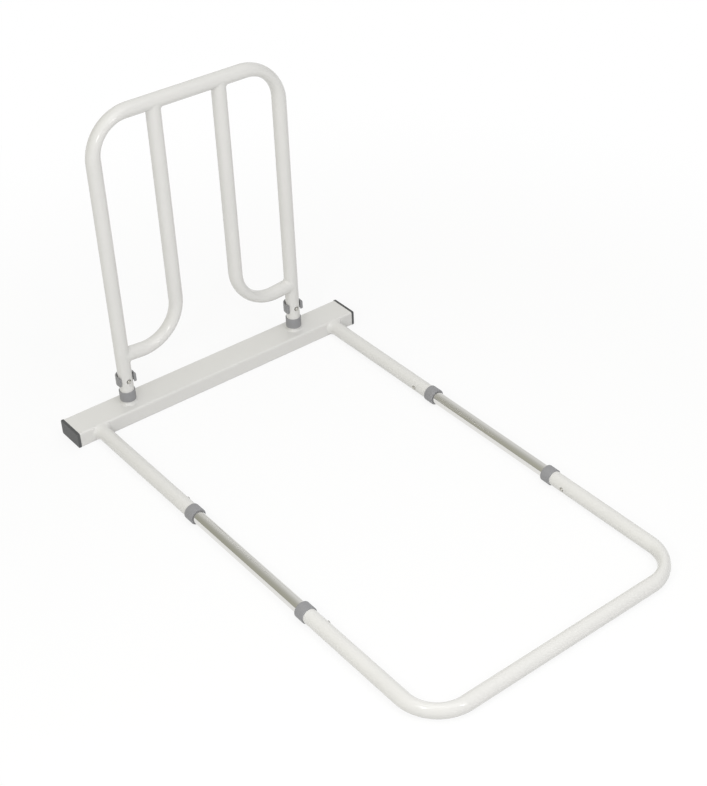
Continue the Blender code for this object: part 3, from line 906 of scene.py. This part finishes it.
for (side, where), (centre, outward) in stations.items():
    node = f"{side}_{where}_button"
    low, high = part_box(node)
    reach = abs((middle(node) - centre).dot(outward))
    half_length = abs((high - low).dot(outward)) / 2
    top = reach + half_length
    bottom = reach - half_length
    outline = [
        *arc((0.0, top - DOME_HEIGHT), (BUTTON_RADIUS, DOME_HEIGHT), 90, 0, steps=8),
        (BUTTON_RADIUS, bottom + FLANGE_NECK), (FLANGE_RADIUS, bottom + FLANGE_EDGE),
        (FLANGE_RADIUS, bottom), (0.0, bottom),
    ]
    shape = turned(outline, centre, outward, closed=False)
    new_piece(f"plated_{node}", shape, button_steel, f"{node}_body", [node])

# %% [markdown]
# ## Locking clips
#
# A springy plastic C is snapped round the back of each leg, with a peg that drops into a hole
# there, so that the handle can't be knocked off its posts. Two flared tabs at the front are
# for the fingers. One upright edge is spun round the leg, and the free ends are extruded into
# tabs. Their corners are bevelled round before the strip gets its thickness.

# %% Clips
CLIP_THICKNESS = 2.3 * MM
CLIP_CLEARANCE = 0.3 * MM
CLIP_OPENING = math.radians(118)
CLIP_STEPS = 48
CLIP_SOFTENING = 0.4 * MM
TAB_LENGTH = 4.2 * MM
TAB_TURN = math.radians(19)
TAB_ROUNDING = 1.9 * MM

for side, sign in SIDES.items():
    node = f"{side}_locking_clip"
    low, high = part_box(node)
    leg = Vector((sign * HANDLE_X, 0, 0))
    radius = TUBE_RADIUS + CLIP_CLEARANCE + CLIP_THICKNESS / 2
    start = CLIP_OPENING / 2 - math.pi / 2
    shape = bmesh.new()
    upright = [
        shape.verts.new(leg + Vector((radius * math.cos(start), radius * math.sin(start), z)))
        for z in (low.z, high.z)
    ]
    first = shape.edges.new(upright)
    spun = bmesh.ops.spin(
        shape, geom=[*upright, first], cent=leg, axis=(0, 0, 1),
        angle=2 * math.pi - CLIP_OPENING, steps=CLIP_STEPS,
    )
    last = next(item for item in spun["geom_last"] if isinstance(item, bmesh.types.BMEdge))
    corners = []
    for edge, way in ((first, 1), (last, -1)):
        grown = bmesh.ops.extrude_edge_only(shape, edges=[edge])
        verts, _ = new_ends(grown["geom"])
        reach = Vector((way * math.cos(TAB_TURN), -math.sin(TAB_TURN), 0)) * TAB_LENGTH
        bmesh.ops.translate(shape, verts=verts, vec=reach)
        corners += verts
    bmesh.ops.bevel(
        shape, geom=corners, offset=TAB_ROUNDING, segments=5, profile=0.5,
        affect="VERTICES", material=-1,
    )
    bmesh.ops.recalc_face_normals(shape, faces=shape.faces)
    if shape.faces[0].normal.dot(shape.faces[0].calc_center_median() - leg) < 0:
        bmesh.ops.reverse_faces(shape, faces=shape.faces)
    bmesh.ops.solidify(shape, geom=shape.faces, thickness=-CLIP_THICKNESS)
    peg = rod(
        peg_places[side] + Vector((0, TUBE_RADIUS - TUBE_WALL, 0)),
        peg_places[side] + Vector((0, radius, 0)), PEG_RADIUS,
    )
    new_piece(
        f"moulded_{node}", shape, clip_plastic, f"{side}_clip", [node],
        adds=[peg], soften=CLIP_SOFTENING,
    )

# %% [markdown]
# ## Leaf springs
#
# The V-shaped springs behind the buttons sit inside the tubes, where only a glimpse of them
# shows through the holes. The CAD shapes are right as they are, so each piece is a copy of
# the CAD mesh with its loose triangles merged.

# %% Springs
SPRING_LEAF = 1.0 * MM      # a little more than the leaf is thick
LOOSE_CORNERS = 0.01 * MM   # corners of the CAD's triangles that lie closer are one

for (side, where), (_, outward) in stations.items():
    node = f"{side}_{where}_spring"
    low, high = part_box(node)
    shape = bmesh.new()
    shape.from_mesh(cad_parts[node].data)
    bmesh.ops.remove_doubles(shape, verts=shape.verts, dist=LOOSE_CORNERS)
    piece = new_piece(f"rolled_{node}", shape, spring_steel, None, [node])
    reach = outward * (abs((high - low).dot(outward)) / 2 - SPRING_LEAF)
    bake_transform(piece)

# %% [markdown]
# ## The camera
#
# The camera was found by matching the edges of the tubes, the crossbar and the bends in the
# photograph. It stands to the left of the frame's far end, well above it, and looks down along
# the frame to the handle. The long lens keeps the tubes nearly parallel. The small shift puts
# the object where the photograph has it without turning the camera.

# %% Camera
CAMERA_PLACE = Vector((-1.0282, -1.7421, 1.4009))
CAMERA_AZIMUTH = math.radians(-39.076)
CAMERA_ELEVATION = math.radians(37.483)
CAMERA_ROLL = math.radians(-0.818)
FOCAL_LENGTH = 70.29        # in mm, on Blender's 36 mm sensor
SHIFT_X = -0.0655
SHIFT_Y = 0.0598

back = Vector((
    math.sin(CAMERA_AZIMUTH) * math.cos(CAMERA_ELEVATION),
    -math.cos(CAMERA_AZIMUTH) * math.cos(CAMERA_ELEVATION),
    math.sin(CAMERA_ELEVATION),
))
right = Vector((math.cos(CAMERA_AZIMUTH), math.sin(CAMERA_AZIMUTH), 0))
turn = Matrix((right, back.cross(right), back)).transposed()
turn = turn @ Matrix.Rotation(CAMERA_ROLL, 3, "Z")
lens = bpy.data.cameras.new("camera")
lens.lens = FOCAL_LENGTH
lens.shift_x = SHIFT_X
lens.shift_y = SHIFT_Y
camera = bpy.data.objects.new("camera", lens)
camera.matrix_world = Matrix.Translation(CAMERA_PLACE) @ turn.to_4x4()
bpy.context.scene.collection.objects.link(camera)
bpy.context.scene.camera = camera
print("camera distance, m:", round(CAMERA_PLACE.length, 2))

# %% [markdown]
# ## The studio
#
# The photograph is cut out on pure white. A white sweep in a real studio does nearly that, and
# its light also fills the undersides. The floor here is white by its own light for the eye and
# for mirrors, with some plain matt white mixed in near the object, so that it still takes a
# faint shadow. Further out it is all its own light, and no edge shows against the background.
# The light that bounces off it meets a pale grey paper instead, because white would make the
# tubes' undersides as bright as their tops.

# %% Floor
FLOOR_HALF = 12.0
FLOOR_PLACE = (0, -0.35, -0.2 * MM)     # under the object's middle, a hair below its feet
SHADOW_SHARE = 0.15         # share of matt white in the floor round the object
SHADOW_FULL = 0.5           # metres from the object's middle at which it starts to fade
SHADOW_FADE = 1.3           # and at which it has gone
WHITE = (1, 1, 1, 1)
floor_shape = bmesh.new()
bmesh.ops.create_grid(floor_shape, x_segments=1, y_segments=1, size=FLOOR_HALF)
floor = as_object("floor", floor_shape)
floor.location = FLOOR_PLACE
floor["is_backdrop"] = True
sweep = bpy.data.materials.new("white_paper_sweep")
sweep.use_nodes = True
tree = sweep.node_tree
tree.nodes.clear()
place = add_node(tree, "ShaderNodeTexCoord").outputs["Object"]
away = add_node(tree, "ShaderNodeVectorMath", links={0: place}, operation="LENGTH")
share = add_node(
    tree, "ShaderNodeMapRange",
    {"From Min": SHADOW_FULL, "From Max": SHADOW_FADE, "To Min": SHADOW_SHARE, "To Max": 0.0},
    {"Value": away.outputs["Value"]}, interpolation_type="SMOOTHSTEP",
)
ray = add_node(tree, "ShaderNodeLightPath")
paper = add_node(tree, "ShaderNodeBsdfDiffuse", {"Color": linear("#D2D2D1")})
matt = add_node(tree, "ShaderNodeBsdfDiffuse", {"Color": WHITE})
glow = add_node(tree, "ShaderNodeEmission", {"Color": WHITE, "Strength": 1.0})
seen = add_node(
    tree, "ShaderNodeMixShader",
    links={0: share.outputs["Result"], 1: glow.outputs[0], 2: matt.outputs[0]},
)
direct = add_node(
    tree, "ShaderNodeMath",
    links={0: ray.outputs["Is Camera Ray"], 1: ray.outputs["Is Glossy Ray"]},
    operation="MAXIMUM",
)
direct = add_node(
    tree, "ShaderNodeMath", links={0: direct.outputs[0], 1: ray.outputs["Is Transmission Ray"]},
    operation="MAXIMUM",
)
either = add_node(
    tree, "ShaderNodeMixShader",
    links={0: direct.outputs[0], 1: paper.outputs[0], 2: seen.outputs[0]},
)
add_node(tree, "ShaderNodeOutputMaterial", links={"Surface": either.outputs[0]})
floor.data.materials.append(sweep)
print("floor:", 2 * FLOOR_HALF, "m wide")

# %% [markdown]
# ## The room round it
#
# The chrome tubes tell what the room was like. Their upper side mirrors light grey, and the
# side towards the left fades to a darker olive grey, down to a sharp line where the white floor
# begins. So the room is an even grey with soft patches in a few directions, brighter on the
# right than on the left. A low patch behind the photographer lights the upright tubes and
# hardly reaches the undersides. The camera itself sees plain white where the floor ends.

# %% World
world = bpy.data.worlds.new("studio")
bpy.context.scene.world = world
world.use_nodes = True
tree = world.node_tree
tree.nodes.clear()
towards = add_node(tree, "ShaderNodeTexCoord").outputs["Generated"]


def glow_from(azimuth, elevation, power):
    """A soft round patch of the room: 1 in one direction, fading to 0 a right angle away."""
    across = math.cos(math.radians(elevation))
    aim = (
        across * math.cos(math.radians(azimuth)), across * math.sin(math.radians(azimuth)),
        math.sin(math.radians(elevation)),
    )
    match = add_node(
        tree, "ShaderNodeVectorMath", {1: aim}, {0: towards}, operation="DOT_PRODUCT",
    )
    match = add_node(
        tree, "ShaderNodeMath", {1: 0.0}, {0: match.outputs["Value"]}, operation="MAXIMUM",
    )
    match = add_node(tree, "ShaderNodeMath", {1: power}, {0: match.outputs[0]}, operation="POWER")
    return match.outputs[0]


ROOM_LEVEL = 0.36
PATCH_POWER = 4             # the higher it is, the smaller the patches
TINT_POWER = 2              # the olive tint on the left is wider
PATCHES = (
    (0, 90, 0.32),          # the ceiling
    (-135, 50, 0.26),       # the wall behind the photographer
    (-130, 10, 0.32),       # its lower part, which lights the upright tubes
    (45, 20, 0.46),         # the far wall on the right
    (180, 25, 0.22),        # the wall on the left
)
light = ROOM_LEVEL
for azimuth, elevation, strength in PATCHES:
    patch = glow_from(azimuth, elevation, PATCH_POWER)
    patch = add_node(tree, "ShaderNodeMath", {1: strength}, {0: patch}, operation="MULTIPLY")
    total = add_node(
        tree, "ShaderNodeMath", {0: ROOM_LEVEL}, {1: patch.outputs[0]}, operation="ADD",
    )
    if light is not ROOM_LEVEL:
        tree.links.new(light, total.inputs[0])
    light = total.outputs[0]
tint = add_node(
    tree, "ShaderNodeMix", links={"Factor": glow_from(135, 15, TINT_POWER)}, data_type="RGBA",
)
tint.inputs["A"].default_value = (1.0, 1.0, 0.985, 1.0)
tint.inputs["B"].default_value = (1.0, 0.992, 0.85, 1.0)
room = add_node(
    tree, "ShaderNodeBackground", links={"Color": tint.outputs["Result"], "Strength": light},
)
white = add_node(tree, "ShaderNodeBackground", {"Color": WHITE, "Strength": 1.0})
ray = add_node(tree, "ShaderNodeLightPath")
either = add_node(
    tree, "ShaderNodeMixShader",
    links={0: ray.outputs["Is Camera Ray"], 1: room.outputs[0], 2: white.outputs[0]},
)
add_node(tree, "ShaderNodeOutputWorld", links={"Surface": either.outputs[0]})
print("world:", world.name, "with", len(PATCHES), "patches")

# %% [markdown]
# ## Soft lamps
#
# Each bend of the real tubes shows two small highlights. A line from the camera to such a spot,
# mirrored at the tube's surface, points at a lamp. The lines from the far frame, the handle and
# the grab bar place one small lamp at the camera's left and one beyond the frame's far end. A
# third, wide one overhead makes the far frame the brightest part, as it is in the photograph.
# It is over a metre wide, so that the bends show no third highlight.

# %% Lamps
NEAR_MIDDLE = (0, -0.30, 0.15)      # between the handle and the lower frame
FAR_MIDDLE = (0, -0.50, 0.00)       # on the floor, inside the lower frame


def soft_box(name, place, aim, width, watts):
    """A square lamp that looks at a point of the object."""
    light = bpy.data.lights.new(name, "AREA")
    light.shape = "SQUARE"
    light.size = width
    light.energy = watts
    lamp = bpy.data.objects.new(name, light)
    lamp.location = place
    lamp.rotation_euler = (Vector(aim) - Vector(place)).to_track_quat("-Z", "Y").to_euler()
    bpy.context.scene.collection.objects.link(lamp)
    print(name, watts, "W")


soft_box("left_soft_box", (-1.14, -1.07, 0.97), NEAR_MIDDLE, 0.24, 3.5)
soft_box("far_soft_box", (0.05, -1.72, 0.89), NEAR_MIDDLE, 0.20, 2.2)
soft_box("overhead_wide_box", (-0.20, -1.10, 1.60), FAR_MIDDLE, 1.30, 6.3)

# %% [markdown]
# ## Finish
#
# The standard view shows a colour as it is written. The dressed object's size is printed at the
# end.

# %% Measure and finish
bpy.context.scene.view_settings.view_transform = "Standard"
low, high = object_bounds()
print("dressed size, mm:", [round(length / MM, 1) for length in high - low])
